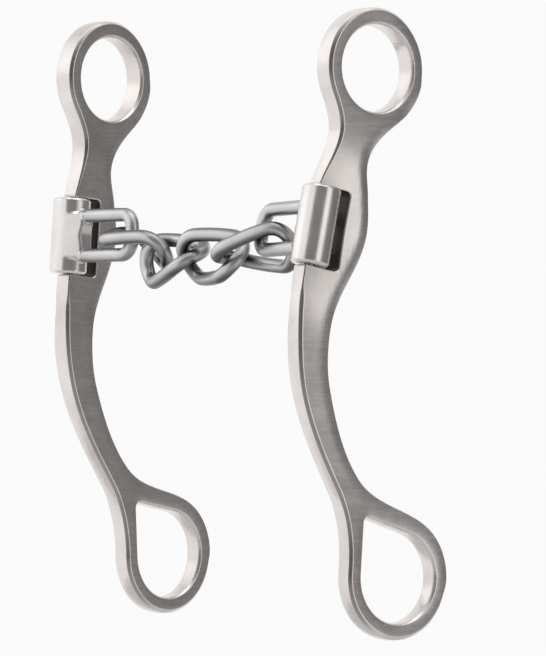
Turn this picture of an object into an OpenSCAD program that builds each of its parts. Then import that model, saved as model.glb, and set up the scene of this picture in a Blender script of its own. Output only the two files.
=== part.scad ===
// Curb bit with a loose chain mouthpiece.
// Two cheeks swing on upright pins, each pin runs through a sleeve set in a notch of the cheek,
// and four twisted links hang between the wire loops welded to the two sleeves.
// X runs across the mouth, +X to the near side; +Y runs backwards; +Z is up. Millimetres.

/* [Mouth] */
// Clear width between the inner faces of the cheeks
mouth_width = 127; // [120:0.5:140]
// Backward lean of the near hinge pin at its top, degrees
near_lean = 12; // [10:0.5:14]
// Backward lean of the off hinge pin at its top, degrees
off_lean = 4.5; // [2.5:0.5:6.5]
// Outward swing of the off cheek as it lies, degrees
off_swing = 9; // [0:0.5:15]

/* [Cheek] */
// Thickness of the cheek at the upper ring and the notch
cheek_thickness = 8; // [7.4:0.1:9]
// Thickness of the cheek at the rein ring
rein_end_thickness = 7; // [6:0.1:7.4]
// Width of the bevel along the edges
edge_bevel = 1; // [0.6:0.05:1.2]
// Width of the front bevel where it fades out above and below the notch
faded_bevel = 0.15; // [0.1:0.05:0.4]

/* [Upper ring] */
// Outer diameter of the ring for the headstall
bridle_ring_d = 39.2; // [38:0.1:41]
// Diameter of its hole
bridle_hole_d = 27.8; // [26:0.1:30]
// Distance of its centre behind the pin
bridle_ring_back = 11.1; // [10:0.1:13]
// Height of its centre above the middle of the sleeve
bridle_ring_up = 54.3; // [53:0.1:60]

/* [Rein ring] */
// Outer diameter of the ring for the rein
rein_ring_d = 40.4; // [39:0.1:43]
// Diameter of the round part of its hole
rein_hole_d = 29.2; // [27:0.1:31]
// Distance from the centre of the ring to the point of the hole
rein_point = 22.7; // [21:0.1:24]
// Radius that rounds the point of the hole
rein_point_r = 1.6; // [1:0.1:3]
// Direction of the point from the centre, degrees above the backward line
rein_point_angle = 136; // [130:1:142]
// Distance of the ring's centre behind the pin
rein_ring_back = 53.5; // [50:0.1:57]
// Drop of the ring's centre below the middle of the sleeve
rein_ring_drop = 103.3; // [101:0.1:110]

/* [Shank] */
// Width across the neck below the upper ring
neck_width = 15.1; // [13.5:0.1:16.5]
// Width at the top of the notch
shoulder_width = 18.8; // [17.5:0.1:20.5]
// Width across the boss that holds the notch
boss_width = 21.9; // [20.5:0.1:24]
// Width across the waist below the notch
waist_width = 13.5; // [12:0.1:15]
// Width half way down the shank
shank_width = 11.2; // [10:0.1:12.5]
// Width where the shank meets the rein ring
shank_end_width = 9.7; // [8.4:0.1:11]

/* [Hinge] */
// Height of the notch
notch_height = 26; // [24.5:0.1:27]
// Depth of the notch behind the pin
notch_back = 9.3; // [8.5:0.1:10.5]
// Diameter of the hinge pin
pin_d = 3.2; // [2.6:0.1:3.4]
// Depth of the pin's seat above the notch
pin_seat_top = 2.5; // [2:0.1:2.8]
// Depth of the pin's seat below the notch
pin_seat_bottom = 5; // [3:0.1:8]
// Added to the pin diameter for the bore of the sleeve
pin_clearance = 0.3; // [0.2:0.05:0.5]
// Gap at each end of the sleeve
sleeve_end_gap = 0.3; // [0.25:0.05:0.6]
// Outer diameter of the sleeve
sleeve_d = 12.7; // [11.5:0.1:14]
// Bevel at the ends of the sleeve
sleeve_bevel = 0.7; // [0.4:0.1:1.2]
// Distance from the pin to the end of the bosses that carry the wire loop
boss_reach = 8.7; // [8:0.1:10]
// Diameter of a boss where it leaves the sleeve
boss_root_d = 8; // [6.5:0.1:9]
// Boss left around the wire at its end
boss_margin = 0.4; // [0.2:0.1:0.8]
// Distance from the pin to the edge of the web between the bosses
web_reach = 8; // [7.4:0.1:8.6]

/* [Chain] */
// Diameter of the wire
wire_d = 4.6; // [4.2:0.05:4.7]
// Outer length of a link
link_length = 33; // [32.6:0.1:33.3]
// Outer width of a link
link_width = 19; // [18.8:0.1:19.3]
// Twist of a link from end to end, degrees
link_twist = 70; // [68:1:72]
// Outer width of an end loop
loop_width = 18; // [17.8:0.1:18.3]
// Radius of the corners of an end loop, to the middle of the wire
loop_corner = 4.6; // [3.6:0.1:5]
// Distance from the middle of the mouth to the end of the off loop, to the middle of its wire
off_loop_from_middle = 34.55; // [34.3:0.05:34.8]
// The same for the near loop
near_loop_from_middle = 35.63; // [35.4:0.05:35.9]
// Distance of the end of the off loop behind the pins
off_loop_back = 1.73; // [1.4:0.05:2]
// The same for the near loop
near_loop_back = 2.88; // [2.6:0.05:3.1]

/* [Drawing] */
// Sub-part to draw, or "all"

/* [Hidden] */

$fn = 56;
// Sides of the wire
wire_sides = 14;
// Steps round each bend, along each straight and round each corner of the wire
bend_steps = 14;
straight_steps = 7;
corner_steps = 6;
// Steps round each ring arc of the cheek edge
arc_steps = 12;
// Over-cut of the tools
over = 1;

pin_x = (mouth_width + cheek_thickness) / 2;
link_core = link_length - wire_d;
link_r = (link_width - wire_d) / 2;
loop_r = (loop_width - wire_d) / 2;
// From each pin to the end of its loop: inwards and backwards, the length and the turn
off_arm = [pin_x - off_loop_from_middle, off_loop_back];
near_arm = [pin_x - near_loop_from_middle, near_loop_back];
off_turn = atan2(off_arm[1], off_arm[0]);
near_turn = atan2(near_arm[1], near_arm[0]);

// How the slack chain lies, from the off side to the near side: for each link its middle,
// its heading round the upright, its rise and its turn about its own length, degrees
lies = [
    [[-27.58, -0.01, -3.75], 1.3, -14.6, -18.9],
    [[-10.64, 0.38, -8.79], -0.9, 4.2, 57.7],
    [[12.21, 0.07, -8.54], 2.1, -0.8, 83.8],
    [[34.02, 1.78, -7.18], 16, 6.8, -37.8]
];

// Cheek edges: for each station the front point, the width, the slope of the cut across,
// and the headings of the front edge and the rear edge
stations = [
    [[0.9, 30], neck_width, -26, -90, -90],
    [[-2.2, 15.5], shoulder_width, -4, -104, -77],
    [[-3.1, 0], boss_width, 3, -90, -90],
    [[-2.7, -29], waist_width, -13, -85, -88],
    [[3.9, -54.1], shank_width, 25, -64, -66],
    [[rein_ring_back - 29.5, 21.6 - rein_ring_drop], shank_end_width, 40, -49, -41]
];
seg_steps = [6, 4, 4, 8, 7, 8, 8];
// Angle from the top of the upper ring where the edges start, and where they leave it
ring_start = 4;
ring_leave_front = 125;
ring_leave_rear = 135;
// Polar angles where the edges join the rein ring, and where they end
rein_join_front = 186;
rein_join_rear = 58;
rein_end_front = 266;
rein_end_rear = -86;
// Heights between which the front bevel fades, and where it starts again
fade_from = 35;
fade_to = 14;
fade_back = -22;
fade_back_length = 3;
// Heights between which the cheek thins towards the rein ring
taper_from = -25;
taper_to = -(rein_ring_drop - rein_ring_d / 2 - 4.5);

bridle_c = [bridle_ring_back, bridle_ring_up];
rein_c = [rein_ring_back, -rein_ring_drop];

function unit(v) = v / norm(v);
function lerp(a, b, t) = a + (b - a) * t;
function smooth01(t) = let (u = max(0, min(1, t))) u * u * (3 - 2 * u);
function polar(a) = [cos(a), sin(a)];
function ring_at(a) = bridle_c + bridle_ring_d / 2 * [sin(a), cos(a)];
function rein_at(a) = rein_c + rein_ring_d / 2 * polar(a);

function hermite(p, q, t) =
    let (len = norm(q[0] - p[0]), t2 = t * t, t3 = t2 * t)
    (2 * t3 - 3 * t2 + 1) * p[0] + (t3 - 2 * t2 + t) * len * polar(p[1])
    + (3 * t2 - 2 * t3) * q[0] + (t3 - t2) * len * polar(q[1]);
function edge(knots) = [
    for (i = [0 : len(knots) - 2]) for (k = [0 : seg_steps[i] - 1])
        hermite(knots[i], knots[i + 1], k / seg_steps[i])
];

front_knots = concat(
    [[ring_at(-ring_leave_front), ring_leave_front - 180]],
    [for (s = stations) [s[0], s[3]]],
    [[rein_at(rein_join_front), rein_join_front + 90 - 360]]
);
rear_knots = concat(
    [[ring_at(ring_leave_rear), -ring_leave_rear]],
    [for (s = stations) [s[0] + s[1] * polar(s[2]), s[4]]],
    [[rein_at(rein_join_rear), rein_join_rear - 90]]
);
front_line = concat(
    [for (k = [0 : arc_steps - 1]) ring_at(-lerp(ring_start, ring_leave_front, k / arc_steps))],
    edge(front_knots),
    [for (k = [0 : arc_steps]) rein_at(lerp(rein_join_front, rein_end_front, k / arc_steps))]
);
rear_line = concat(
    [for (k = [0 : arc_steps - 1]) ring_at(lerp(ring_start, ring_leave_rear, k / arc_steps))],
    edge(rear_knots),
    [for (k = [0 : arc_steps]) rein_at(lerp(rein_join_rear, rein_end_rear, k / arc_steps))]
);
rows = len(front_line);

function half_thickness(z) =
    lerp(cheek_thickness, rein_end_thickness, smooth01((taper_from - z) / (taper_from - taper_to))) / 2;
function front_bevel(z) =
    z > fade_back
        ? lerp(edge_bevel, faded_bevel, smooth01((fade_from - z) / (fade_from - fade_to)))
        : lerp(faded_bevel, edge_bevel, smooth01((fade_back - z) / fade_back_length));
function inward(line, k, turn) =
    let (t = unit(line[min(k + 1, rows - 1)] - line[max(k - 1, 0)])) turn * [-t[1], t[0]];
function at(x, p) = [x, p[0], p[1]];
function cheek_row(k) =
    let (
        f = front_line[k],
        r = rear_line[k],
        cf = front_bevel(f[1]),
        fi = f + cf * inward(front_line, k, 1),
        ri = r + edge_bevel * inward(rear_line, k, -1),
        hf = half_thickness(f[1]),
        hr = half_thickness(r[1])
    )
    [at(hf - cf, f), at(cf - hf, f), at(-hf, fi), at(-hr, ri),
     at(edge_bevel - hr, r), at(hr - edge_bevel, r), at(hr, ri), at(hf, fi)];

// Skin of quads, each cut into two triangles, over rows of equally many points
function skin(n, m, closed) = [
    for (i = [0 : n - (closed ? 1 : 2)]) for (j = [0 : m - 1])
        let (a = i * m + j, b = i * m + (j + 1) % m,
             c = (i + 1) % n * m + (j + 1) % m, d = (i + 1) % n * m + j)
        each [[a, c, b], [a, d, c]]
];

module cheek_blank() {
    last = (rows - 1) * 8;
    caps = concat(
        [for (q = [[0, 1, 4, 5], [1, 2, 3, 4], [0, 5, 6, 7]]) q],
        [for (q = [[5, 4, 1, 0], [4, 3, 2, 1], [7, 6, 5, 0]]) [for (i = q) last + i]]
    );
    polyhedron(
        points = [for (k = [0 : rows - 1]) each cheek_row(k)],
        faces = concat(skin(rows, 8, false), caps)
    );
}

// Outline of the rein hole, a round with a point, grown by off
drop_steps = 40;
point_steps = 6;
function drop_outline(off) =
    let (
        big = rein_hole_d / 2,
        reach = rein_point - rein_point_r,
        lean = acos((big - rein_point_r) / reach),
        tip = rein_c + reach * polar(rein_point_angle)
    )
    concat(
        [for (k = [0 : drop_steps])
            rein_c + (big + off) * polar(rein_point_angle + lerp(lean, 360 - lean, k / drop_steps))],
        [for (k = [0 : point_steps])
            tip + (rein_point_r + off) * polar(rein_point_angle + lerp(-lean, lean, k / point_steps))]
    );

// Plug through the rein hole from x0, grown by off0, to x1, grown by off1
module drop_plug(x0, off0, x1, off1) {
    n = drop_steps + point_steps + 2;
    polyhedron(
        points = concat([for (p = drop_outline(off0)) at(x0, p)], [for (p = drop_outline(off1)) at(x1, p)]),
        faces = concat(
            [[for (i = [0 : n - 1]) i]],
            [[for (i = [0 : n - 1]) 2 * n - 1 - i]],
            [for (i = [0 : n - 1]) [i, n + i, n + (i + 1) % n, (i + 1) % n]]
        )
    );
}

module rein_hole() {
    h = rein_end_thickness / 2;
    drop_plug(-h - over, 0, h + over, 0);
    drop_plug(h - edge_bevel, 0, h + over, edge_bevel + over);
    drop_plug(-h - over, edge_bevel + over, -h + edge_bevel, 0);
}

module bridle_hole() {
    h = cheek_thickness / 2;
    r = bridle_hole_d / 2;
    translate([0, bridle_ring_back, bridle_ring_up]) rotate([0, 90, 0]) {
        cylinder(r = r, h = cheek_thickness + 2 * over, center = true);
        translate([0, 0, h - edge_bevel])
            cylinder(r1 = r, r2 = r + edge_bevel + over, h = edge_bevel + over);
        translate([0, 0, -h - over])
            cylinder(r1 = r + edge_bevel + over, r2 = r, h = edge_bevel + over);
    }
}

module cheek() {
    difference() {
        cheek_blank();
        bridle_hole();
        rein_hole();
        translate([-cheek_thickness, notch_back - 40, -notch_height / 2])
            cube([2 * cheek_thickness, 40, notch_height]);
        translate([0, 0, -notch_height / 2 - pin_seat_bottom])
            cylinder(d = pin_d, h = notch_height + pin_seat_top + pin_seat_bottom);
    }
}

module hinge_pin() {
    translate([0, 0, -notch_height / 2 - pin_seat_bottom])
        cylinder(d = pin_d, h = notch_height + pin_seat_top + pin_seat_bottom);
}

// Sleeve with its two bosses and the web between them towards +X
module sleeve() {
    h = notch_height / 2 - sleeve_end_gap;
    r = sleeve_d / 2;
    difference() {
        union() {
            rotate_extrude()
                polygon([[0, -h], [r - sleeve_bevel, -h], [r, sleeve_bevel - h],
                         [r, h - sleeve_bevel], [r - sleeve_bevel, h], [0, h]]);
            for (z = [-loop_r, loop_r]) translate([pin_d, 0, z]) rotate([0, 90, 0])
                cylinder(d1 = boss_root_d, d2 = wire_d + 2 * boss_margin, h = boss_reach - pin_d);
            translate([0, -wire_d / 2, -loop_r]) cube([web_reach, wire_d, 2 * loop_r]);
        }
        cylinder(d = pin_d + pin_clearance, h = notch_height, center = true);
    }
}

// Wire bent along a flat path of [along, across, heading along, heading across], the path twisted
// about its own length by rate degrees per millimetre from turn at along = 0
function wire_ring(p, turn, rate) =
    let (
        a = turn + rate * p[0],
        side = [0, cos(a), sin(a)],
        lift = [0, -sin(a), cos(a)],
        t = unit(p[2] * [1, 0, 0] + p[3] * side + p[1] * rate * PI / 180 * p[2] * lift),
        n = [p[3], 0, 0] - p[2] * side,
        u = unit(n - (n * t) * t),
        v = cross(t, u)
    )
    [for (j = [0 : wire_sides - 1])
        let (q = polar(360 * j / wire_sides))
        p[0] * [1, 0, 0] + p[1] * side + wire_d / 2 * (q[0] * u + q[1] * v)];

// Bend of radius r about the point c, from angle a0 through sweep
function bend(c, r, a0, sweep, steps) = [
    for (k = [0 : steps]) let (a = a0 + sweep * k / steps)
        [c[0] + r * cos(a), c[1] + r * sin(a), -sin(a), cos(a)]
];
// Straight run at across = w, going from x0 towards x1
function run(x0, x1, w, ks) = [
    for (k = ks) [lerp(x0, x1, k / straight_steps), w, sign(x1 - x0), 0]
];

module link_body() {
    s = link_core / 2 - link_r;
    inner = [1 : straight_steps - 1];
    path = concat(bend([s, 0], link_r, -90, 180, bend_steps), run(s, -s, link_r, inner),
                  bend([-s, 0], link_r, 90, 180, bend_steps), run(-s, s, -link_r, inner));
    polyhedron(
        points = [for (p = path) each wire_ring(p, 0, -link_twist / link_core)],
        faces = skin(len(path), wire_sides, true)
    );
}

// Square-cornered end loop from the ends of the bosses to its far side at x = reach
module end_loop(reach) {
    s = reach - boss_reach - loop_corner;
    w = loop_r - loop_corner;
    path = concat(run(0, s, -loop_r, [0 : straight_steps - 1]),
                  bend([s, -w], loop_corner, -90, 90, corner_steps),
                  bend([s, w], loop_corner, 0, 90, corner_steps),
                  run(s, 0, loop_r, [1 : straight_steps]));
    last = len(path) - 1;
    translate([boss_reach, 0, 0]) polyhedron(
        points = [for (p = path) each wire_ring(p, 90, 0)],
        faces = concat(
            skin(last + 1, wire_sides, false),
            [[for (j = [0 : wire_sides - 1]) j]],
            [[for (j = [0 : wire_sides - 1]) last * wire_sides + wire_sides - 1 - j]]
        )
    );
}

// Link i as it lies
module link(i) {
    c = lies[i][0];
    heading = lies[i][1];
    rise = lies[i][2];
    roll = lies[i][3];
    e = [cos(rise) * cos(heading), cos(rise) * sin(heading), sin(rise)];
    side = unit(cross([0, 0, 1], e));
    up = cross(e, side);
    s = cos(roll) * side + sin(roll) * up;
    u = cos(roll) * up - sin(roll) * side;
    multmatrix([[e[0], s[0], u[0], c[0]], [e[1], s[1], u[1], c[1]], [e[2], s[2], u[2], c[2]]]) link_body();
}

// Places on the two hinge pins, and of the sleeves turned to their loops
module near_pin() {
    translate([pin_x, 0, 0]) rotate([-near_lean, 0, 0]) children();
}
module off_pin() {
    translate([-pin_x, 0, 0]) rotate([-off_lean, 0, 0]) children();
}
module near_inward() {
    near_pin() rotate([0, 0, 180 - near_turn]) children();
}
module off_inward() {
    off_pin() rotate([0, 0, off_turn]) children();
}

module near_cheek() color("silver") near_pin() cheek();
module off_cheek() color("silver") off_pin() rotate([0, 0, off_swing]) cheek();
module near_hinge_pin() color("darkgray") near_pin() hinge_pin();
module off_hinge_pin() color("darkgray") off_pin() rotate([0, 0, off_swing]) hinge_pin();
module near_sleeve() color("lightgray") near_inward() sleeve();
module off_sleeve() color("lightgray") off_inward() sleeve();
module near_end_loop() color("gray") near_inward() end_loop(norm(near_arm));
module off_end_loop() color("gray") off_inward() end_loop(norm(off_arm));
module chain_link_1() color("gray") link(0);
module chain_link_2() color("gray") link(1);
module chain_link_3() color("gray") link(2);
module chain_link_4() color("gray") link(3);

near_cheek();
off_cheek();
near_hinge_pin();
off_hinge_pin();
near_sleeve();
off_sleeve();
near_end_loop();
off_end_loop();
chain_link_1();
chain_link_2();
chain_link_3();
chain_link_4();
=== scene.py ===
import math

import bmesh
import bpy
import numpy as np
from mathutils import Matrix, Vector
from mathutils.geometry import delaunay_2d_cdt


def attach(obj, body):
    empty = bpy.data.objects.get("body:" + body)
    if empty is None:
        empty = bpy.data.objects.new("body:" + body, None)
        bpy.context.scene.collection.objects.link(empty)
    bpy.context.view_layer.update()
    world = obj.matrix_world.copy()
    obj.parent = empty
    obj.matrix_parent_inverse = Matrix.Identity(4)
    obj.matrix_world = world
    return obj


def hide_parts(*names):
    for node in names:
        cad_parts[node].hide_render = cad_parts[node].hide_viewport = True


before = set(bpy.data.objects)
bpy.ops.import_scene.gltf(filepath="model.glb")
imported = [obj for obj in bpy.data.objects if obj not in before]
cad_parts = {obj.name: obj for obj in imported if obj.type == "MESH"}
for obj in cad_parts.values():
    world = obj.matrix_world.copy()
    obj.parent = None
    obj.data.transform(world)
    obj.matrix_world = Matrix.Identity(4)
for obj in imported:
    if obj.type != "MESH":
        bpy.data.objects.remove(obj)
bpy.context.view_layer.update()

MM = 0.001
# Distance in metres at which two points of a mesh become one
MERGE = 1e-7

# Sizes, in millimetres and degrees, as in the solids. Points of a cheek are (back, up) from the middle of its pin.

PIN_X = 67.5
NEAR_LEAN, OFF_LEAN, OFF_SWING = 12.0, 4.5, 9.0
THICK, REIN_THICK = 8.0, 7.0
# Height at which the shank begins to thin, and how far above the rein ring that ends
TAPER_TOP, TAPER_END = -25, 4.5
BRIDLE_C, BRIDLE_R, BRIDLE_HOLE_R = np.array([11.1, 54.3]), 19.6, 13.9
REIN_C, REIN_R, REIN_HOLE_R = np.array([53.5, -103.3]), 20.2, 14.6
REIN_POINT, REIN_POINT_R, REIN_POINT_ANGLE = 22.7, 1.6, 136.0
NOTCH_HALF, NOTCH_BACK = 13.0, 9.3
# Roundings of the notch, and the part of the front edge beside it that they take up
NOTCH_MOUTH_R, NOTCH_CORNER_R, NOTCH_CLEAR = 0.5, 1.3, 0.9
# Where the edges leave the rings, and their headings there
RING_FRONT, RING_FRONT_HEADING = 125, -55
RING_REAR, RING_REAR_HEADING = 135, -135
REIN_FRONT, REIN_FRONT_HEADING = 186, -84
REIN_REAR, REIN_REAR_HEADING = 58, -32
# Stations of the cheek edges: front point, width, slope of the cut, front heading, rear heading
STATIONS = [
    ((0.9, 30.0), 15.1, -26, -90, -90),
    ((-2.2, 15.5), 18.8, -4, -104, -77),
    ((-3.1, 0.0), 21.9, 3, -90, -90),
    ((-2.7, -29.0), 13.5, -13, -85, -88),
    ((3.9, -54.1), 11.2, 25, -64, -66),
    ((24.0, -81.7), 9.7, 40, -49, -41),
]

PIN_R, SLEEVE_R, SLEEVE_HALF, SLEEVE_ROOM = 1.6, 6.35, 12.7, 0.15
SLEEVE_BEVEL, SLEEVE_EDGE_R = 0.7, 0.3
BOSS_REACH = 8.7
WIRE_R = 2.3
LINK_CORE, LINK_BEND_R, LINK_TWIST = 28.4, 7.2, -70.0
# The legs of a loop are let this far into the boss
LOOP_HALF, LOOP_CORNER, LOOP_SINK = 6.7, 4.6, 0.6
# From each pin to the end of its loop: towards the middle, and back
OFF_ARM, NEAR_ARM = np.array([PIN_X - 34.55, 1.73]), np.array([PIN_X - 35.63, 2.88])
# Lie of each link: middle, heading, rise, turn about its length
LIES = [
    ((-27.58, -0.01, -3.75), 1.3, -14.6, -18.9),
    ((-10.64, 0.38, -8.79), -0.9, 4.2, 57.7),
    ((12.21, 0.07, -8.54), 2.1, -0.8, 83.8),
    ((34.02, 1.78, -7.18), 16.0, 6.8, -37.8),
]

# Finish of the cheeks

BEVEL, FADED_BEVEL, REAR_BEVEL, HOLE_BEVEL = 1.0, 0.35, 0.45, 0.7
EDGE_BULGE = 0.15
# The front bevel begins to fade and is faded at these heights above the notch, and is full again below the last one
FADE_TOP, FADE_FULL, FADE_LOW = 35, 14, -22
# Points of the outline this near to the rear edge have the rear bevel
REAR_BAND = 5.0
# Points of the outline this little past the notch still count as the notch, and as the front
NOTCH_SLACK, FRONT_SLACK = 0.2, 0.3
# Rounds of evening out, along the outline, of the width of the bevel and of the bulge of the edge
BEVEL_BLUR, BULGE_BLUR = 6, 2
# Bevel section: share of the bevel width in from the edge, and down from the face
BEVEL_SECTION = [(0.0, 1.35), (0.0, 1.16), (0.05, 1.0), (0.16, 0.84), (0.5, 0.47), (0.84, 0.16),
                 (1.0, 0.05), (1.16, 0.0), (1.4, 0.0)]
# Rows of the edge wall, as shares of its half height
WALL_ROWS = (0.0, 0.3, 0.55, 0.75, 0.9)
# Rounding of the face: its fall at an edge, and the width over which it ends
BOSS_FALL, SHANK_FALL, REAR_WIDTH = 1.1, 0.5, 4.0
BRIDLE_RIM_FALL, BRIDLE_RIM_WIDTH = 1.1, 5.0
REIN_RIM_FALL, REIN_RIM_WIDTH = 0.25, 2.2
BRIDLE_LIP, BRIDLE_LIP_WIDTH = 0.3, 1.8
REIN_LIP, REIN_LIP_WIDTH = 0.35, 2.6
# Share of the rounding that the inner face has
INNER_SHARE = 0.7
# Slope of the outer face: above the middle of the notch, all along the shank, and more of it close below the notch
NECK_SLOPE, SHANK_SLOPE, NOTCH_SLOPE = 0.22, 0.06, 0.16
# Distance from the rear edge at which it starts, and the run over which it levels out
SLOPE_START, SLOPE_RUN = 2.6, 16
# Where a rounding or a slope begins and where it is full: distances from the middle of the boss, heights along the
# cheek, and distances behind the middle of a ring
BOSS_MIDDLE, BOSS_ENDS = 2, (44, 20)
SHANK_TOP, SHANK_LOW = (12, -8), (-88, -66)
BRIDLE_RIM_UP, BRIDLE_RIM_BACK = (36, 46), (0, 14)
REIN_RIM_DOWN, REIN_RIM_BACK = (-84, -96), (-14, 0)
NECK_RUN, SHANK_RUN, NOTCH_RUN = (38, 14), (-90, -76), (-41, -19)
# Spacing of points along the outline, along the rein hole, in degrees along the rings, and within the face
OUTLINE_STEP, HOLE_STEP, ARC_STEP, FACE_STEP = 0.8, 0.7, 2.5, 1.5
# Points round the bridle hole, and round the arc and the tip of the rein hole before they are evened out
BRIDLE_STEPS, DROP_STEPS, TIP_STEPS = 132, 120, 24
# Squared distance that points within the face keep from its edges, and the distance at which two become one
FACE_CLEAR_SQ, FACE_MERGE = 0.6, 1e-6

# Share of painted shade: a dark band painted on the front bevels, and shade painted beside the hooks of the chain,
# under its wires and on top of them
BEVEL_SHADE_SHARE, HOOK_SHADE, UNDER_SHADE, TOP_SHADE = 0.5, 0.92, 0.85, 0.75
# Share of the painted shade under and on top of a wire that the links and the end loops carry
LINK_SHADE_SHARE, LOOP_SHADE_SHARE = 1.0, 0.65
# Height on a wire, in radii, at which the painted shade under it is full, and at which that on top of it begins and
# is full
UNDER_FULL, TOP_START, TOP_FULL = -0.85, 0.35, 0.9
# Gap between two wires at which the painted shade beside a hook begins
HOOK_REACH = 3.5
# Shade is painted in the notch behind this place, and from this share of its bevel's depth on, over this run
NOTCH_SHADE_FRONT, NOTCH_SHADE_START, NOTCH_SHADE_RUN = 1.0, 0.5, 0.6
# A dark band of painted shade lies on the front bevels between these shares of their width, where they face forward
# by this much and more
CREASE_IN, CREASE_OUT, CREASE_START, CREASE_RUN = 0.1, 0.9, 0.2, 0.5


def polar(a):
    return np.array([math.cos(math.radians(a)), math.sin(math.radians(a))])


def smooth01(t):
    t = np.clip(t, 0.0, 1.0)
    return t * t * (3 - 2 * t)


def between(value, start, full):
    """Rises smoothly from 0 at the start to 1 where it is full, upwards or downwards."""
    return smooth01((value - start) / (full - start))


def unit(v):
    v = np.asarray(v, float)
    return v / np.linalg.norm(v)


def turn_matrix(axis, degrees):
    return np.array(Matrix.Rotation(math.radians(degrees), 3, axis))


# Cheek outline


def ring_at(a):
    """Point of the bridle ring, by the angle from its top towards the rear."""
    return BRIDLE_C + BRIDLE_R * np.array([math.sin(math.radians(a)), math.cos(math.radians(a))])


def rein_at(a):
    return REIN_C + REIN_R * polar(a)


def hermite(p, q, steps):
    """Curve between two knots of point and heading, without its end."""
    p0, p1 = np.asarray(p[0], float), np.asarray(q[0], float)
    length = np.linalg.norm(p1 - p0)
    m0, m1 = length * polar(p[1]), length * polar(q[1])
    out = []
    for t in np.arange(steps) / steps:
        out.append((2 * t**3 - 3 * t**2 + 1) * p0 + (t**3 - 2 * t**2 + t) * m0
                   + (3 * t**2 - 2 * t**3) * p1 + (t**3 - t**2) * m1)
    return out


def edge_line(knots, steps=22):
    out = []
    for p, q in zip(knots, knots[1:]):
        out += hermite(p, q, steps)
    return out


REAR_LINE = edge_line([(ring_at(RING_REAR), RING_REAR_HEADING)]
                      + [(np.array(s[0]) + s[1] * polar(s[2]), s[4]) for s in STATIONS]
                      + [(rein_at(REIN_REAR), REIN_REAR_HEADING)])
# The same from below, as np.interp needs it, and how far it leans back for each millimetre of height
REAR_EDGE = np.array(REAR_LINE)[::-1]
REAR_LEAN = np.abs(np.gradient(REAR_EDGE[:, 0], REAR_EDGE[:, 1]))


def fillet(corner, before, after, radius, steps=7):
    """Points that round a corner between the directions from before and towards after."""
    d0, d1 = unit(np.subtract(before, corner)), unit(np.subtract(after, corner))
    half = math.acos(np.clip(d0 @ d1, -1, 1)) / 2
    reach = radius / math.tan(half)
    centre = corner + unit(d0 + d1) * radius / math.sin(half)
    a = corner + d0 * reach - centre
    b = corner + d1 * reach - centre
    swing = math.pi - 2 * half
    out = []
    for k in range(steps + 1):
        s = k / steps
        out.append(centre + (math.sin((1 - s) * swing) * a + math.sin(s * swing) * b) / math.sin(swing))
    return out


def resample(points, spacing):
    """Closed loop with points at an even spacing along it."""
    p = np.array(points)
    q = np.vstack([p, p[:1]])
    travel = np.concatenate([[0], np.cumsum(np.linalg.norm(np.diff(q, axis=0), axis=1))])
    n = int(round(travel[-1] / spacing))
    at = np.arange(n) * travel[-1] / n
    return np.column_stack([np.interp(at, travel, q[:, 0]), np.interp(at, travel, q[:, 1])])


def outer_loop():
    """Outline of the cheek with its notch, front side first, from the top down."""
    front = edge_line([(ring_at(-RING_FRONT), RING_FRONT_HEADING)] + [(s[0], s[3]) for s in STATIONS]
                      + [(rein_at(REIN_FRONT), REIN_FRONT_HEADING)])
    back, height = np.array(front)[::-1].T
    above = [p for p in front if p[1] > NOTCH_HALF + NOTCH_CLEAR]
    below = [p for p in front if p[1] < -NOTCH_HALF - NOTCH_CLEAR]
    top = np.array([np.interp(NOTCH_HALF, height, back), NOTCH_HALF])
    low = np.array([np.interp(-NOTCH_HALF, height, back), -NOTCH_HALF])
    top_in, low_in = np.array([NOTCH_BACK, NOTCH_HALF]), np.array([NOTCH_BACK, -NOTCH_HALF])
    notch = (fillet(top, above[-1], top_in, NOTCH_MOUTH_R) + fillet(top_in, top, low_in, NOTCH_CORNER_R)
             + fillet(low_in, top_in, low, NOTCH_CORNER_R) + fillet(low, low_in, below[0], NOTCH_MOUTH_R))
    loop = [ring_at(-a) for a in np.arange(0, RING_FRONT, ARC_STEP)]
    loop += above + notch + below
    loop += [rein_at(a) for a in np.arange(REIN_FRONT, 360 + REIN_REAR - 0.01, ARC_STEP)]
    loop += REAR_LINE[::-1]
    loop += [ring_at(a) for a in np.arange(RING_REAR - ARC_STEP, 0.1, -ARC_STEP)]
    return resample(loop, OUTLINE_STEP)


def drop_loop():
    """Outline of the teardrop hole in the rein ring."""
    reach = REIN_POINT - REIN_POINT_R
    lean = math.degrees(math.acos((REIN_HOLE_R - REIN_POINT_R) / reach))
    tip = REIN_C + reach * polar(REIN_POINT_ANGLE)
    arc, turn = np.linspace(lean, 360 - lean, DROP_STEPS), np.linspace(-lean, lean, TIP_STEPS)
    loop = [REIN_C + REIN_HOLE_R * polar(REIN_POINT_ANGLE + a) for a in arc]
    loop += [tip + REIN_POINT_R * polar(REIN_POINT_ANGLE + a) for a in turn]
    return resample(loop, HOLE_STEP)


def bridle_loop():
    angles = np.linspace(0, 360, BRIDLE_STEPS, endpoint=False)
    return np.array([BRIDLE_C + BRIDLE_HOLE_R * polar(a) for a in angles])


DROP = drop_loop()


def metal_side(loop, hole):
    """Unit normals of a closed loop, pointing into the metal."""
    t = np.roll(loop, -1, 0) - np.roll(loop, 1, 0)
    t /= np.linalg.norm(t, axis=1)[:, None]
    n = np.column_stack([-t[:, 1], t[:, 0]])
    area = 0.5 * np.sum(loop[:, 0] * np.roll(loop[:, 1], -1) - np.roll(loop[:, 0], -1) * loop[:, 1])
    inward = n if area > 0 else -n
    return -inward if hole else inward


def blur(values, rounds):
    """Evens out values along a closed loop."""
    for _ in range(rounds):
        values = 0.25 * np.roll(values, 1) + 0.5 * values + 0.25 * np.roll(values, -1)
    return values


# Cheek surface


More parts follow.
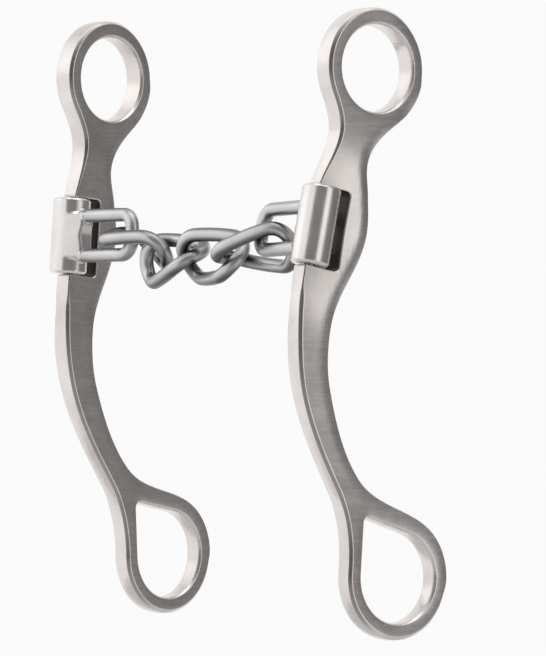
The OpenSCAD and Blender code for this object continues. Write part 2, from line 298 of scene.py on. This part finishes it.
def outer_bevel(loop):
    """Width of the bevel round the outline: narrow at the rear, and fading out on the front beside the notch."""
    y, z = loop.T
    behind = y > np.interp(z, REAR_EDGE[:, 1], REAR_EDGE[:, 0]) - REAR_BAND
    rear = behind & (z < BRIDLE_C[1]) & (z > REIN_C[1])
    width = np.where(rear, REAR_BEVEL, BEVEL)
    front = y < NOTCH_BACK + FRONT_SLACK
    fading = BEVEL + (FADED_BEVEL - BEVEL) * between(z, FADE_TOP, FADE_FULL)
    width = np.where(front & (z > 0) & (z < FADE_TOP), fading, width)
    width = np.where(front & (z <= 0) & (z > FADE_LOW), FADED_BEVEL, width)
    return blur(width, BEVEL_BLUR)


def half_thickness(z):
    """Half of the cheek's thickness at a height."""
    end = REIN_C[1] + REIN_R + TAPER_END
    return (THICK + (REIN_THICK - THICK) * between(z, TAPER_TOP, end)) / 2


def fall(depth, distance, width):
    """Rounding that is deepest at an edge and ends at the given width from it."""
    return depth * np.clip(1 - distance / width, 0, 1) ** 2


def crown(p, outer):
    """Fall of the face below its flat: rounded towards the edges, and on the outside sloped forward to the notch."""
    y, z = np.atleast_2d(p).T
    to_rear = np.interp(z, REAR_EDGE[:, 1], REAR_EDGE[:, 0]) - y
    to_rear = to_rear / np.sqrt(1 + np.interp(z, REAR_EDGE[:, 1], REAR_LEAN) ** 2)
    from_bridle = np.hypot(y - BRIDLE_C[0], z - BRIDLE_C[1])
    from_rein = np.hypot(y - REIN_C[0], z - REIN_C[1])
    to_drop = np.min(np.hypot(y[:, None] - DROP[:, 0], z[:, None] - DROP[:, 1]), axis=1)

    # Each stretch of the cheek takes its own rounding, and they fade into each other
    boss = between(np.abs(z - BOSS_MIDDLE), *BOSS_ENDS)
    shank = between(z, *SHANK_TOP) * between(z, *SHANK_LOW)
    bridle_rear = between(z, *BRIDLE_RIM_UP) * between(y - BRIDLE_C[0], *BRIDLE_RIM_BACK)
    rein_rear = between(z, *REIN_RIM_DOWN) * between(y - REIN_C[0], *REIN_RIM_BACK)
    drop = fall(np.maximum(BOSS_FALL * boss, SHANK_FALL * shank), to_rear, REAR_WIDTH)
    drop = np.maximum(drop, fall(BRIDLE_RIM_FALL * bridle_rear, BRIDLE_R - from_bridle, BRIDLE_RIM_WIDTH))
    drop = np.maximum(drop, fall(REIN_RIM_FALL * rein_rear, REIN_R - from_rein, REIN_RIM_WIDTH))
    drop = drop + (fall(BRIDLE_LIP, from_bridle - BRIDLE_HOLE_R, BRIDLE_LIP_WIDTH)
                   + fall(REIN_LIP, to_drop, REIN_LIP_WIDTH))
    if not outer:
        return INNER_SHARE * drop

    above = NECK_SLOPE * between(z, *NECK_RUN)
    below = SHANK_SLOPE * between(z, *SHANK_RUN) + NOTCH_SLOPE * between(z, *NOTCH_RUN)
    ahead = np.clip(to_rear - SLOPE_START, 0, None)
    eased = ahead**2 / (ahead + 1.0)
    return drop + np.where(z > 0, above, below) * SLOPE_RUN * (1 - np.exp(-eased / SLOPE_RUN))


def face_height(p, outer):
    """Distance of the face from the middle plane of the cheek."""
    return half_thickness(np.atleast_2d(p)[:, 1]) - crown(p, outer)


def inside(p, loop):
    """Whether a point lies within a closed loop."""
    a, b = loop, np.roll(loop, -1, 0)
    cross = (a[:, 1] > p[1]) != (b[:, 1] > p[1])
    at = a[:, 0] + (p[1] - a[:, 1]) / np.where(cross, b[:, 1] - a[:, 1], 1.0) * (b[:, 0] - a[:, 0])
    return np.count_nonzero(cross & (p[0] < at)) % 2 == 1


def face_points(edge_points):
    """Points within the face, which keep its triangles short."""
    lo, hi = edge_points.min(0), edge_points.max(0)
    gy, gz = np.meshgrid(np.arange(lo[0], hi[0], FACE_STEP), np.arange(lo[1], hi[1], FACE_STEP))
    grid = np.column_stack([gy.ravel(), gz.ravel()])
    near = np.array([np.min(np.sum((edge_points - g) ** 2, axis=1)) for g in grid])
    return grid[near > FACE_CLEAR_SQ]


class Cheek:
    """Mesh of one cheek: edge walls and bevels along its outline and holes, and two faces between them."""

    def __init__(self, place, out_side):
        self.place, self.out_side = place, out_side
        self.verts, self.faces, self.painted_shade = [], [], []
        outline = outer_loop()
        self.rims = [(outline, metal_side(outline, False), outer_bevel(outline))]
        for loop in (bridle_loop(), DROP):
            self.rims.append((loop, metal_side(loop, True), np.full(len(loop), HOLE_BEVEL)))
        for side in (1, -1):
            edges = [self.rim(side, k == 0, *rim) for k, rim in enumerate(self.rims)]
            self.face(side, [e[0] for e in edges], [i for e in edges for i in e[1]])

    def add(self, p, x, shade_here=0.0):
        self.verts.append(self.place([x, p[0], p[1]]))
        self.painted_shade.append(shade_here)
        return len(self.verts) - 1

    def rim(self, side, is_outline, loop, n, width):
        """Half of an edge wall and its bevel. Gives the points where the face begins, and their numbers."""
        outer = side == self.out_side
        y, z = loop.T
        notch = (np.abs(z) < NOTCH_HALF + NOTCH_SLACK) & (y < NOTCH_BACK + NOTCH_SLACK) & is_outline
        # Painted shade deep in the notch, behind its front
        shaded = notch & (y > NOTCH_SHADE_FRONT)
        bulge = blur(np.where(notch, 0.0, EDGE_BULGE), BULGE_BLUR)
        corner = face_height(loop, outer) - BEVEL_SECTION[0][1] * width
        rows = []
        for share in WALL_ROWS:
            p = loop + n * (bulge * share**2)[:, None]
            rows.append([self.add(*v) for v in zip(p, side * share * corner, shaded)])
        for off, down in BEVEL_SECTION:
            p = loop + n * (bulge + off * width)[:, None]
            x = side * (face_height(p, outer) - down * width)
            # Painted shade: a dark band on the front bevels of the outline, where they face forward
            on_shaded_band = is_outline and CREASE_IN < off < CREASE_OUT
            bevel_shade = BEVEL_SHADE_SHARE * smooth01((n[:, 0] - CREASE_START) / CREASE_RUN) if on_shaded_band else 0.0
            shade_here = np.where(shaded, np.clip((down - NOTCH_SHADE_START) / NOTCH_SHADE_RUN, 0, 1), bevel_shade)
            rows.append([self.add(*v) for v in zip(p, x, shade_here)])
        count = len(loop)
        for a, b in zip(rows, rows[1:]):
            self.faces += [(a[k], a[(k + 1) % count], b[(k + 1) % count], b[k]) for k in range(count)]
        return p, rows[-1]

    def face(self, side, rims, ids):
        """Triangles between the rims, whose points have the given numbers."""
        edges, start = [], 0
        for rim in rims:
            m = len(rim)
            edges += [(start + k, start + (k + 1) % m) for k in range(m)]
            start += m
        edge_points = np.vstack(rims)
        points = [Vector(p) for p in edge_points] + [Vector(p) for p in face_points(edge_points)]
        places, _, triangles, origins = delaunay_2d_cdt(points, edges, [], 0, FACE_MERGE)[:4]
        made = {}
        for k, origin in enumerate(origins):
            known = [i for i in origin if i < len(ids)]
            if known:
                made[k] = ids[known[0]]
        for tri in triangles:
            centre = np.mean([places[k] for k in tri], axis=0)
            if any(inside(centre, hole) for hole in rims[1:]) or not inside(centre, rims[0]):
                continue
            for k in tri:
                if k not in made:
                    x = float(face_height(np.array(places[k]), side == self.out_side)[0])
                    made[k] = self.add(places[k], side * x)
            self.faces.append(tuple(made[k] for k in tri))


def make_object(name, verts, faces, painted_shade=None, smooth_angle=None):
    """Smooth object from points in metres, with the share of painted shade at each point where one is given."""
    mesh = bpy.data.meshes.new(name)
    mesh.from_pydata([tuple(v) for v in verts], [], faces)
    if painted_shade is not None:
        mesh.attributes.new("painted_shade", "FLOAT", "POINT").data.foreach_set("value", painted_shade)
    bm = bmesh.new()
    bm.from_mesh(mesh)
    bmesh.ops.remove_doubles(bm, verts=bm.verts, dist=MERGE)
    bmesh.ops.recalc_face_normals(bm, faces=bm.faces)
    bm.to_mesh(mesh)
    bm.free()
    for p in mesh.polygons:
        p.use_smooth = True
    if smooth_angle is not None:
        mesh.set_sharp_from_angle(angle=math.radians(smooth_angle))
    obj = bpy.data.objects.new(name, mesh)
    bpy.context.scene.collection.objects.link(obj)
    return obj


def make_cheek(name, place, out_side):
    cheek = Cheek(place, out_side)
    return make_object(name, cheek.verts, cheek.faces, cheek.painted_shade)


def pin_place(side):
    """Maps millimetres about a pin to metres in the shared frame."""
    lean = NEAR_LEAN if side > 0 else OFF_LEAN
    base = np.array([side * PIN_X, 0.0, 0.0])
    turn = turn_matrix("X", -lean)
    return lambda p: (base + turn @ np.asarray(p, float)) * MM


def turned(place, degrees):
    """The same place, turned about its pin."""
    turn = turn_matrix("Z", degrees)
    return lambda p: place(turn @ np.asarray(p, float))


# Wire pieces

WIRE_SIDES = 28
# Points along each half turn and each leg of a link, and along each corner, each leg and the end of an end loop
LINK_BEND_STEPS, LINK_LEG_STEPS = 30, 18
LOOP_BEND_STEPS, LOOP_LEG_STEPS, LOOP_END_STEPS = 16, 14, 6
# Edges sharper than this, at the ends of a loop's wire, stay sharp
WIRE_END_ANGLE = 50


def wire_rings(path, turn, rate):
    """Rings round a flat path of (along, across, heading along, heading across), twisted by rate for each mm."""
    rings = []
    along = np.array([1.0, 0, 0])
    ang = 2 * np.pi * np.arange(WIRE_SIDES) / WIRE_SIDES
    for x, w, hx, hw in path:
        a = math.radians(turn + rate * x)
        side = np.array([0, math.cos(a), math.sin(a)])
        lift = np.array([0, -math.sin(a), math.cos(a)])
        t = unit(hx * along + hw * side + w * math.radians(rate) * hx * lift)
        n = hw * along - hx * side
        u = unit(n - (n @ t) * t)
        v = np.cross(t, u)
        rings.append((x * along + w * side) + WIRE_R * (np.outer(np.cos(ang), u) + np.outer(np.sin(ang), v)))
    return rings


def bend(c, r, a0, sweep, steps):
    """Arc of a path, with both its ends."""
    out = []
    for k in range(steps + 1):
        a = math.radians(a0 + sweep * k / steps)
        out.append((c[0] + r * math.cos(a), c[1] + r * math.sin(a), -math.sin(a), math.cos(a)))
    return out


def run(x0, x1, w, steps, ends=(False, False)):
    """Straight leg of a path, with the ends that are asked for."""
    ks = range(0 if ends[0] else 1, steps + (1 if ends[1] else 0))
    return [(x0 + (x1 - x0) * k / steps, w, math.copysign(1, x1 - x0), 0.0) for k in ks]


def centre_line(rings, place):
    return np.array([place(ring.mean(axis=0)) for ring in rings]) / MM


def wire_shade(rings, place, others, shade_share):
    """Share of painted shade at each point: beside the neighbouring wires, on the underside and on the top."""
    p = np.array([place(q) for ring in rings for q in ring]) / MM
    middle = np.repeat(centre_line(rings, place), len(rings[0]), axis=0)
    lift = (p - middle)[:, 2] / WIRE_R
    # Painted shade on the underside and the top of the wire, and beside the neighbouring wires
    lift_shade = np.maximum(UNDER_SHADE * between(lift, 0, UNDER_FULL), TOP_SHADE * between(lift, TOP_START, TOP_FULL))
    gap = np.min([np.linalg.norm(p[:, None] - o[None], axis=2).min(axis=1) for o in others], axis=0) - WIRE_R
    return np.maximum(HOOK_SHADE * smooth01(1 - gap / HOOK_REACH), shade_share * lift_shade)


def make_wire(name, rings, place, closed, others):
    """Tube through the rings: a closed link, or an end loop with two flat ends."""
    sides, n = len(rings[0]), len(rings)
    verts = [place(p) for ring in rings for p in ring]
    faces = []
    for i in range(n if closed else n - 1):
        i2 = (i + 1) % n
        for j in range(sides):
            k = (j + 1) % sides
            faces.append((i * sides + j, i * sides + k, i2 * sides + k, i2 * sides + j))
    if not closed:
        faces.append(tuple(range(sides)))
        faces.append(tuple((n - 1) * sides + j for j in range(sides)))
    # Painted shade of the wire, carried to the material as a share at each point
    shade = wire_shade(rings, place, others, LINK_SHADE_SHARE if closed else LOOP_SHADE_SHARE)
    return make_object(name, verts, faces, shade, None if closed else WIRE_END_ANGLE)


def link_place(i):
    """Maps millimetres about the middle of a link to metres in the shared frame."""
    middle, heading, rise, roll = LIES[i]
    h, v, r = math.radians(heading), math.radians(rise), math.radians(roll)
    e = np.array([math.cos(v) * math.cos(h), math.cos(v) * math.sin(h), math.sin(v)])
    side = unit(np.cross([0, 0, 1], e))
    up = np.cross(e, side)
    s = math.cos(r) * side + math.sin(r) * up
    u = math.cos(r) * up - math.sin(r) * side
    axes = np.column_stack([e, s, u])
    middle = np.array(middle)
    return lambda p: (middle + axes @ np.asarray(p, float)) * MM


def link_wire(i):
    s = LINK_CORE / 2 - LINK_BEND_R
    path = (bend((s, 0), LINK_BEND_R, -90, 180, LINK_BEND_STEPS) + run(s, -s, LINK_BEND_R, LINK_LEG_STEPS)
            + bend((-s, 0), LINK_BEND_R, 90, 180, LINK_BEND_STEPS) + run(-s, s, -LINK_BEND_R, LINK_LEG_STEPS))
    return wire_rings(path, 0.0, LINK_TWIST / LINK_CORE), link_place(i)


def loop_wire(place, reach):
    s = reach - BOSS_REACH - LOOP_CORNER
    w = LOOP_HALF - LOOP_CORNER
    path = (run(-LOOP_SINK, s, -LOOP_HALF, LOOP_LEG_STEPS, (True, False))
            + bend((s, -w), LOOP_CORNER, -90, 90, LOOP_BEND_STEPS)
            + [(s + LOOP_CORNER, w * (2 * k / LOOP_END_STEPS - 1), 0.0, 1.0) for k in range(1, LOOP_END_STEPS)]
            + bend((s, w), LOOP_CORNER, 0, 90, LOOP_BEND_STEPS)
            + run(s, -LOOP_SINK, LOOP_HALF, LOOP_LEG_STEPS, (False, True)))
    return [r + np.array([BOSS_REACH, 0, 0]) for r in wire_rings(path, 90.0, 0.0)], place


# Sleeves

# Reach of the web from the pin at its middle, what it gains towards the legs, and the height at which it has it
WEB_REACH, WEB_GAIN, WEB_GAIN_HALF = 8.4, 0.6, 4.4
# The web ends this far above the middle of a leg, and fades over this height
WEB_OVER, WEB_FADE = 1.6, 1.8
# Softness of the web's edge, and of the seam between a leg and the barrel
WEB_SOFT, LEG_SOFT = 0.7, 1.5
# Least share of a direction that points along the legs for them to be there, and least cosine on the web's flanks
LEG_FACING, FLANK_FACING = 0.2, 0.3
# How far the ends reach into the bore, where the rows between the ends begin, and their number
SLEEVE_END, SLEEVE_MARGIN, SLEEVE_ROWS = 2.0, 1.4, 104
# Points round the sleeve lie closer on the side of the web: half of that side, its step and the step elsewhere
WEB_SIDE, WEB_STEP, BARREL_STEP = 75, 1.8, 5.0


def rounded_profile(points, radius, steps=5):
    out = [np.array(points[0], float)]
    for a, b, c in zip(points, points[1:], points[2:]):
        out += fillet(np.array(b, float), np.array(a, float), np.array(c, float), radius, steps)
    out.append(np.array(points[-1], float))
    return out


def soft_max(a, b, k):
    """The larger of two values, with a soft seam where they differ by less than k."""
    h = np.maximum(k - np.abs(a - b), 0.0) / k
    return np.maximum(a, b) + h * h * k / 4


def sleeve_radius(phi, z):
    """Radius of the sleeve round its pin: the barrel, the two legs of the loop and the web between them."""
    side = np.maximum(np.abs(np.sin(phi)), 1e-6)
    ahead = np.maximum(np.cos(phi), 1e-6)
    away = np.abs(z) - LOOP_HALF
    half = np.sqrt(np.maximum(WIRE_R**2 - away**2, 0.0))
    leg = np.where(np.cos(phi) > LEG_FACING, np.minimum(BOSS_REACH / ahead, half / side), 0.0)
    reach = WEB_REACH + WEB_GAIN * between(np.abs(z), 0, WEB_GAIN_HALF)
    lean = math.acos(SLEEVE_R / math.hypot(BOSS_REACH, WIRE_R)) + math.atan2(WIRE_R, BOSS_REACH)
    on_web = np.abs(phi) < lean
    slope = np.where(on_web, SLEEVE_R / np.maximum(np.cos(np.abs(phi) - lean), FLANK_FACING), 0.0)
    web = np.where(on_web, -soft_max(-slope, -reach / ahead, WEB_SOFT), 0.0)
    proud = np.maximum(web - SLEEVE_R, 0.0) * smooth01((LOOP_HALF + WEB_OVER - np.abs(z)) / WEB_FADE)
    return soft_max(SLEEVE_R + proud, leg, LEG_SOFT)


def make_sleeve(name, place):
    h, r, bore = SLEEVE_HALF, SLEEVE_R, PIN_R + SLEEVE_ROOM
    ends = rounded_profile([(bore, h - SLEEVE_END), (bore, h), (r - SLEEVE_BEVEL, h), (r, h - SLEEVE_BEVEL),
                            (r, h - SLEEVE_END)], SLEEVE_EDGE_R)[:-1]
    phi = np.radians(np.concatenate([np.arange(-180, -WEB_SIDE, BARREL_STEP),
                                     np.arange(-WEB_SIDE, WEB_SIDE, WEB_STEP),
                                     np.arange(WEB_SIDE, 180, BARREL_STEP)]))
    count = len(phi)

    def row(radius, z):
        return np.column_stack([radius * np.cos(phi), radius * np.sin(phi), np.full(count, z)])

    rows = [row(*q) for q in ends]
    rows += [row(sleeve_radius(phi, np.full(count, z)), z)
             for z in np.linspace(h - SLEEVE_MARGIN, SLEEVE_MARGIN - h, SLEEVE_ROWS)]
    rows += [row(q[0], -q[1]) for q in ends[::-1]]
    verts = [place(p) for points in rows for p in points]
    faces = []
    n = len(rows)
    for i in range(n):
        for j in range(count):
            k, m = (j + 1) % count, (i + 1) % n
            faces.append((i * count + j, m * count + j, m * count + k, i * count + k))
    return make_object(name, verts, faces)


# Materials

# Noise of the steel: scale, detail, roughness
BRUSHING, CLOUDS, MARKS = (900.0, 4.0, 0.6), (55.0, 3.0, 0.55), (420.0, 2.0, 0.5)
# Darkest and lightest share of the tint in the clouds, and darkest in the brushing
CLOUD_DARK, CLOUD_LIGHT, STREAK_DARK = 0.86, 1.1, 0.97
# Places in the cloud noise of the darkest, the middle and the lightest tone
CLOUD_STOPS = (0.3, 0.52, 0.75)
# Range of the brushing noise that is used
NOISE_LOW, NOISE_HIGH = 0.3, 0.7
# Roughness that the brushing takes off and adds, and that the handling marks add
ROUGH_LESS, ROUGH_MORE, ROUGH_MARKS = 0.02, 0.05, 0.06
# Depth of the brushing and of the marks, in metres, and the share of the bump that the marks get
BRUSH_DEPTH, MARK_DEPTH, MARK_SHARE = 0.0002, 0.0006, 0.7
# Near-black colour of the painted shade
SHADE_COLOUR = (0.035, 0.028, 0.024, 1)
# Sockets of a colour Mix node
MIX_FACTOR, MIX_A, MIX_B, MIX_RESULT = 0, 6, 7, 2


class Nodes:
    """Material with a Principled shader, and short ways to add to its nodes."""

    def __init__(self, name):
        self.mat = bpy.data.materials.new(name)
        self.mat.use_nodes = True
        self.tree = self.mat.node_tree
        self.shader = self.tree.nodes["Principled BSDF"]

    def new(self, kind, **props):
        """Node with the given values of its sockets and properties."""
        node = self.tree.nodes.new(kind)
        for k, v in props.items():
            if k in node.inputs:
                node.inputs[k].default_value = v
            else:
                setattr(node, k, v)
        return node

    def link(self, a, out, b, inp):
        self.tree.links.new(a.outputs[out], b.inputs[inp])

    def noise(self, source, out, kind):
        scale, detail, roughness = kind
        node = self.new("ShaderNodeTexNoise", Scale=scale, Detail=detail, Roughness=roughness)
        self.link(source, out, node, "Vector")
        return node

    def ramp(self, source, out, stops):
        node = self.new("ShaderNodeValToRGB")
        fill_ramp(node.color_ramp.elements, stops)
        self.link(source, out, node, "Fac")
        return node


def fill_ramp(elements, stops):
    while len(elements) < len(stops):
        elements.new(0.5)
    for element, (position, colour) in zip(elements, stops):
        element.position = position
        element.color = tuple(colour) + (1.0,)


def brushed_steel(name, tint, brush_scale, rough, bump):
    """Satin steel: fine brushing along one axis, cloudy tone, small handling marks, and painted shade where each
    point's share of it says.
    """
    m = Nodes(name)
    m.shader.inputs["Metallic"].default_value = 1.0
    coord = m.new("ShaderNodeTexCoord")
    stretch = m.new("ShaderNodeMapping", Scale=brush_scale)
    m.link(coord, "Object", stretch, "Vector")
    lines = m.noise(stretch, "Vector", BRUSHING)
    cloud = m.noise(coord, "Object", CLOUDS)
    marks = m.noise(coord, "Object", MARKS)

    dark = [c * CLOUD_DARK for c in tint]
    light = [min(1.0, c * CLOUD_LIGHT) for c in tint]
    tone = m.ramp(cloud, "Fac", list(zip(CLOUD_STOPS, (dark, tint, light))))
    streak = m.ramp(lines, "Fac", [(NOISE_LOW, (STREAK_DARK,) * 3), (NOISE_HIGH, (1.0, 1.0, 1.0))])
    mixed = m.new("ShaderNodeMix", data_type="RGBA", blend_type="MULTIPLY")
    mixed.inputs[MIX_FACTOR].default_value = 1.0
    m.link(tone, "Color", mixed, MIX_A)
    m.link(streak, "Color", mixed, MIX_B)
    # Painted shade: the near-black colour is mixed in by each point's share of it
    shade = m.new("ShaderNodeAttribute", attribute_name="painted_shade")
    shaded = m.new("ShaderNodeMix", data_type="RGBA")
    shaded.inputs[MIX_B].default_value = SHADE_COLOUR
    m.link(shade, "Fac", shaded, MIX_FACTOR)
    m.link(mixed, MIX_RESULT, shaded, MIX_A)
    m.link(shaded, MIX_RESULT, m.shader, "Base Color")

    spread = m.new("ShaderNodeMapRange")
    for key, value in (("From Min", NOISE_LOW), ("From Max", NOISE_HIGH),
                       ("To Min", rough - ROUGH_LESS), ("To Max", rough + ROUGH_MORE)):
        spread.inputs[key].default_value = value
    m.link(lines, "Fac", spread, "Value")
    patch = m.new("ShaderNodeMath", operation="MULTIPLY_ADD")
    patch.inputs[1].default_value = ROUGH_MARKS
    m.link(marks, "Fac", patch, 0)
    m.link(spread, "Result", patch, 2)
    m.link(patch, "Value", m.shader, "Roughness")

    relief = m.new("ShaderNodeBump", Strength=bump, Distance=BRUSH_DEPTH)
    m.link(lines, "Fac", relief, "Height")
    soft = m.new("ShaderNodeBump", Strength=bump * MARK_SHARE, Distance=MARK_DEPTH)
    m.link(marks, "Fac", soft, "Height")
    m.link(relief, "Normal", soft, "Normal")
    m.link(soft, "Normal", m.shader, "Normal")
    return m.mat


CHEEK_MAT = brushed_steel("cheek_brushed_steel", (0.785, 0.738, 0.71), (1.0, 0.06, 1.0), 0.22, 0.02)
SLEEVE_MAT = brushed_steel("sleeve_turned_steel", (0.83, 0.803, 0.782), (1.0, 1.0, 0.05), 0.2, 0.03)
CHAIN_MAT = brushed_steel("chain_cast_steel", (0.64, 0.64, 0.652), (1.0, 1.0, 1.0), 0.28, 0.03)
PIN_MAT = brushed_steel("pin_drawn_steel", (0.5, 0.49, 0.48), (1.0, 1.0, 0.1), 0.35, 0.1)


# Pieces


def dress(obj, node, body, mat):
    obj.data.materials.clear()
    obj.data.materials.append(mat)
    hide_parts(node)
    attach(obj, body)


near_pin, off_pin = pin_place(1), pin_place(-1)
near_place = turned(near_pin, 180 - math.degrees(math.atan2(NEAR_ARM[1], NEAR_ARM[0])))
off_place = turned(off_pin, math.degrees(math.atan2(OFF_ARM[1], OFF_ARM[0])))

for side, place, out_side in (("near", near_pin, 1), ("off", turned(off_pin, OFF_SWING), -1)):
    plate = make_cheek(side + "_cheek_plate", place, out_side)
    dress(plate, side + "_cheek", side + "_cheek_set", CHEEK_MAT)

for side, place in (("near", near_place), ("off", off_place)):
    sleeve = make_sleeve(side + "_sleeve_body", place)
    dress(sleeve, side + "_sleeve", side + "_sleeve_set", SLEEVE_MAT)

# Node, body, wire
CHAIN = [("near_end_loop", "near_sleeve_set", loop_wire(near_place, np.linalg.norm(NEAR_ARM))),
         ("off_end_loop", "off_sleeve_set", loop_wire(off_place, np.linalg.norm(OFF_ARM)))]
CHAIN += [("chain_link_%d" % (i + 1), "link_%d" % (i + 1), link_wire(i)) for i in range(len(LIES))]
for node, body, (rings, place) in CHAIN:
    others = [centre_line(*wire) for name, _, wire in CHAIN if name != node]
    piece = make_wire(node + "_wire", rings, place, "link" in node, others)
    dress(piece, node, body, CHAIN_MAT)

for side in ("near", "off"):
    pin = bpy.data.objects[side + "_hinge_pin"]
    pin.data.materials.clear()
    pin.data.materials.append(PIN_MAT)

# Floor, light and camera, in metres

FLOOR_Z, FLOOR_R, FLOOR_POINTS = -0.45, 0.5, 96
FLOOR_TONE, FLOOR_ROUGH = (0.75, 0.75, 0.75, 1), 0.9

floor_mesh = bpy.data.meshes.new("floor")
around = [2 * math.pi * k / FLOOR_POINTS for k in range(FLOOR_POINTS)]
floor_mesh.from_pydata([(FLOOR_R * math.cos(a), FLOOR_R * math.sin(a), FLOOR_Z) for a in around], [],
                       [tuple(range(FLOOR_POINTS))])
floor = bpy.data.objects.new("floor", floor_mesh)
bpy.context.scene.collection.objects.link(floor)
pale = Nodes("floor_white")
pale.shader.inputs["Base Color"].default_value = FLOOR_TONE
pale.shader.inputs["Roughness"].default_value = FLOOR_ROUGH
pale.shader.inputs["Specular IOR Level"].default_value = 0.0
floor_mesh.materials.append(pale.mat)

# Walls of the studio, as bearing in degrees and level: white paper behind and to the left, grey flats in front and
# to the right, and a white strip between the flats
WALLS = [(-180, 1.0), (-76, 1.0), (-68, 0.22), (-6, 0.22), (1, 1.15), (21, 1.15), (30, 0.32), (40, 0.21),
         (54, 0.19), (88, 0.15), (96, 1.0), (180, 1.0)]
# Level of the ceiling and of what lies straight below, and the heights between which the walls give way to it.
# A height here is the upright part of a direction
CEILING, CEILING_START, CEILING_END = (0.8, 0.8, 0.8, 1), 0.5, 0.9
# Below the level of the object the grey flats give way to paper of this level, between these heights
LOW_LEVEL, LOW_START, LOW_END = 0.55, -0.07, -0.2
WORLD_STRENGTH = 0.96

world = bpy.data.worlds.new("studio")
bpy.context.scene.world = world
world.use_nodes = True
wt = world.node_tree


def world_math(operation, *values):
    node = wt.nodes.new("ShaderNodeMath")
    node.operation = operation
    for k, v in enumerate(values):
        if isinstance(v, (int, float)):
            node.inputs[k].default_value = v
        else:
            wt.links.new(v, node.inputs[k])
    return node.outputs[0]


def world_step(source, start, end, level):
    """Rises smoothly from 0 to the level while the source goes from start to end."""
    node = wt.nodes.new("ShaderNodeMapRange")
    node.interpolation_type = "SMOOTHSTEP"
    for key, value in (("From Min", start), ("From Max", end), ("To Min", 0.0), ("To Max", level)):
        node.inputs[key].default_value = value
    wt.links.new(source, node.inputs["Value"])
    return node.outputs["Result"]


coords = wt.nodes.new("ShaderNodeTexCoord")
xyz = wt.nodes.new("ShaderNodeSeparateXYZ")
wt.links.new(coords.outputs["Generated"], xyz.inputs["Vector"])
bearing = world_math("ARCTAN2", xyz.outputs["Y"], xyz.outputs["X"])
walls = wt.nodes.new("ShaderNodeValToRGB")
wt.links.new(world_math("MULTIPLY_ADD", bearing, 0.5 / math.pi, 0.5), walls.inputs["Fac"])
fill_ramp(walls.color_ramp.elements, [((degrees + 180) / 360, (level,) * 3) for degrees, level in WALLS])
low = world_step(xyz.outputs["Z"], LOW_START, LOW_END, LOW_LEVEL)
blend = wt.nodes.new("ShaderNodeMix")
blend.data_type = "RGBA"
lofty = world_step(world_math("ABSOLUTE", xyz.outputs["Z"]), CEILING_START, CEILING_END, 1.0)
wt.links.new(lofty, blend.inputs[MIX_FACTOR])
wt.links.new(world_math("MAXIMUM", walls.outputs["Color"], low), blend.inputs[MIX_A])
blend.inputs[MIX_B].default_value = CEILING
sky = wt.nodes["Background"]
wt.links.new(blend.outputs[MIX_RESULT], sky.inputs["Color"])
sky.inputs["Strength"].default_value = WORLD_STRENGTH


def softbox(name, at, size, watts):
    """Square area lamp that faces the middle of the bit."""
    light = bpy.data.lights.new(name, "AREA")
    light.shape = "RECTANGLE"
    light.size, light.size_y = size, size
    light.energy = watts
    obj = bpy.data.objects.new(name, light)
    bpy.context.scene.collection.objects.link(obj)
    obj.location = at
    obj.rotation_euler = Vector(at).to_track_quat("Z", "Y").to_euler()


softbox("key", (-1.0, -0.9, 0.9), 1.4, 1.6)
softbox("top", (0.1, 0.1, 1.3), 1.0, 3)

# Camera as fitted to the photo: direction, distance, and the point it looks at, to the right and down
AZIMUTH, ELEVATION, DISTANCE = math.radians(53.55), math.radians(-1.83), 2.0
AIM_RIGHT, AIM_DOWN = 0.0272, 0.0316
SENSOR, LENS, CLIP = 36, 335.9, (0.1, 20)

toward = Vector((math.sin(AZIMUTH) * math.cos(ELEVATION), -math.cos(AZIMUTH) * math.cos(ELEVATION),
                 math.sin(ELEVATION)))
right = Vector((math.cos(AZIMUTH), math.sin(AZIMUTH), 0))
up = toward.cross(right)
cam_data = bpy.data.cameras.new("camera")
cam_data.sensor_width = SENSOR
cam_data.lens = LENS
cam_data.clip_start, cam_data.clip_end = CLIP
cam = bpy.data.objects.new("camera", cam_data)
bpy.context.scene.collection.objects.link(cam)
cam.location = DISTANCE * toward
aim = AIM_RIGHT * right - AIM_DOWN * up
cam.rotation_euler = (cam.location - aim).to_track_quat("Z", "Y").to_euler()
bpy.context.scene.camera = cam
bpy.context.scene.view_settings.view_transform = "Standard"
